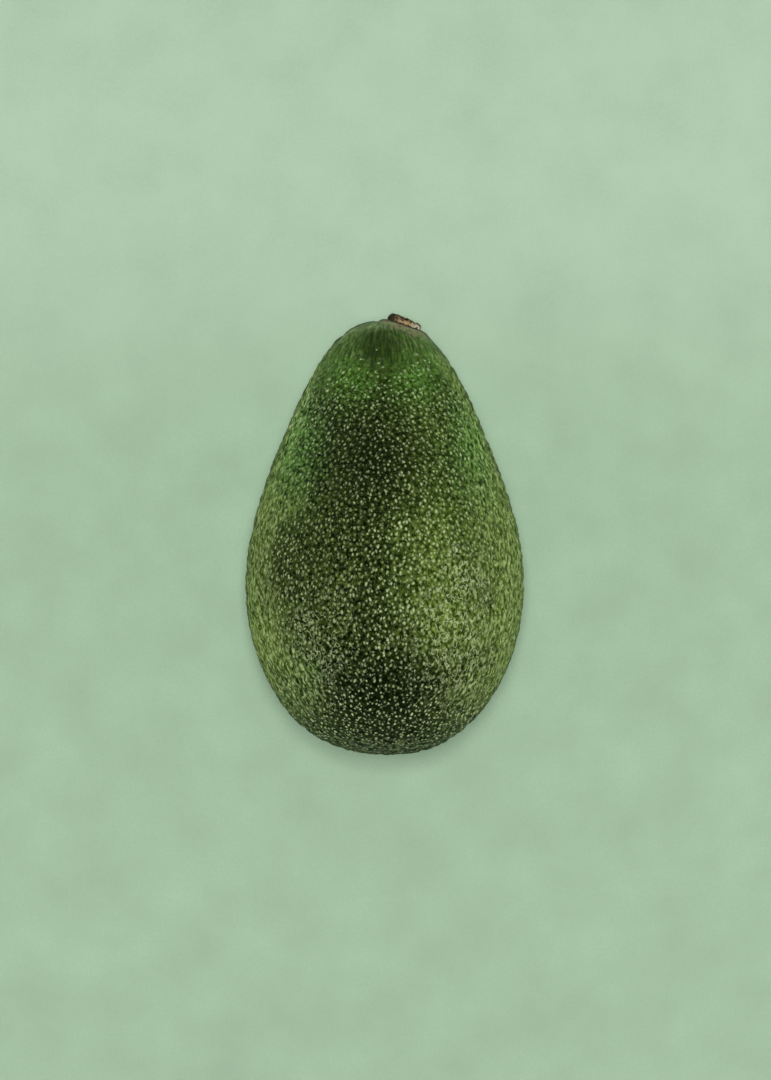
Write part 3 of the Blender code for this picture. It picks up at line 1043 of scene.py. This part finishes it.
def add_lamps(settings):
    """A pair on each side, of which only the weaker one is mirrored in the skin, and two from above."""
    sides = (("left", -SIDE_LAMP_OUT, LEFT_LAMP_SHARE), ("right", SIDE_LAMP_OUT, 1.0))
    for name, x, share in sides:
        place = (x, SIDE_LAMP_ALONG, SIDE_LAMP_UP)
        power = settings.side_power * share
        matt = power * (1 - MIRRORED_SHARE)
        add_light(name + "_fill", place, SIDE_LAMP_SIZE, matt, glossy=False, shadow=False)
        add_light(name + "_softbox", place, SIDE_LAMP_SIZE, power * MIRRORED_SHARE)
    add_light("overhead", OVERHEAD_LAMP, OVERHEAD_LAMP_SIZE, settings.overhead_power, glossy=False)
    add_light("far_softbox", FAR_LAMP, FAR_LAMP_SIZE, settings.far_power, glossy=False)


def add_camera(settings):
    """A long lens straight above, with the stem end at the top of the picture."""
    data = bpy.data.cameras.new("camera")
    data.lens = settings.lens
    data.clip_start = 0.05
    data.clip_end = 20
    camera = bpy.data.objects.new("camera", data)
    bpy.context.scene.collection.objects.link(camera)
    distance = settings.view_height * settings.lens / data.sensor_width
    middle = (FRUIT_LOW[2] + FRUIT_HIGH[2]) / 2
    camera.location = (settings.look_across, settings.look_along, middle + distance)
    bpy.context.scene.camera = camera


class AVOCADO_OT_grow_skin(Operator):
    """Grows the pebbled green skin in place of the plain fruit"""

    bl_idname = "avocado.grow_skin"
    bl_label = "Grow Skin"

    def execute(self, context):
        skin = object_from(grow_skin(context.scene.avocado_fruit), "skin")
        skin.data.materials.append(skin_material(context.scene.avocado_skin))
        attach(skin, "root")
        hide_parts("fruit")
        return {"FINISHED"}


class AVOCADO_OT_grow_stem(Operator):
    """Grows the dry stem button in its socket"""

    bl_idname = "avocado.grow_stem"
    bl_label = "Grow Stem Button"

    def execute(self, context):
        settings = context.scene.avocado_stem
        stem = object_from(grow_stem(settings), "stem")
        stem.data.materials.append(bark_material(settings))
        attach(stem, "root")
        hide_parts("stem_button")
        return {"FINISHED"}


class AVOCADO_OT_set_stage(Operator):
    """Lays the pale sheet and sets the lights and the camera"""

    bl_idname = "avocado.set_stage"
    bl_label = "Set Stage"

    def execute(self, context):
        settings = context.scene.avocado_studio
        bpy.ops.mesh.primitive_plane_add(size=SHEET_WIDTH)
        sheet = context.active_object
        sheet.name = "sheet"
        sheet.data.materials.append(sheet_material(settings))
        add_lamps(settings)
        world = bpy.data.worlds.new("studio")
        context.scene.world = world
        world.use_nodes = True
        background = world.node_tree.nodes["Background"]
        background.inputs["Color"].default_value = (1, 1, 1, 1)
        background.inputs["Strength"].default_value = settings.ambient
        context.scene.view_settings.view_transform = "Standard"
        context.scene.view_settings.look = "None"
        add_camera(settings)
        return {"FINISHED"}


class AVOCADO_PT_parts(Panel):
    """The buttons that grow the avocado, with their settings"""

    bl_label = "Avocado"
    bl_idname = "AVOCADO_PT_parts"
    bl_space_type = "VIEW_3D"
    bl_region_type = "UI"
    bl_category = "Avocado"

    def draw(self, context):
        groups = {
            "avocado.grow_skin": ("avocado_fruit", "avocado_skin"),
            "avocado.grow_stem": ("avocado_stem",),
            "avocado.set_stage": ("avocado_studio",),
        }
        for operator, names in groups.items():
            box = self.layout.box()
            box.operator(operator)
            for name in names:
                settings = getattr(context.scene, name)
                for prop in settings.bl_rna.properties:
                    if prop.identifier not in ("rna_type", "name"):
                        box.prop(settings, prop.identifier)


GROUPS = {
    "avocado_fruit": FruitSizes,
    "avocado_skin": SkinColours,
    "avocado_stem": StemSettings,
    "avocado_studio": StudioSettings,
}
CLASSES = (
    *GROUPS.values(),
    AVOCADO_OT_grow_skin,
    AVOCADO_OT_grow_stem,
    AVOCADO_OT_set_stage,
    AVOCADO_PT_parts,
)


def register():
    for cls in CLASSES:
        bpy.utils.register_class(cls)
    for name, group in GROUPS.items():
        setattr(bpy.types.Scene, name, PointerProperty(type=group))


def unregister():
    for name in GROUPS:
        delattr(bpy.types.Scene, name)
    for cls in reversed(CLASSES):
        bpy.utils.unregister_class(cls)


def main():
    register()
    bpy.ops.avocado.grow_skin()
    bpy.ops.avocado.grow_stem()
    bpy.ops.avocado.set_stage()


if __name__ == "__main__":
    main()
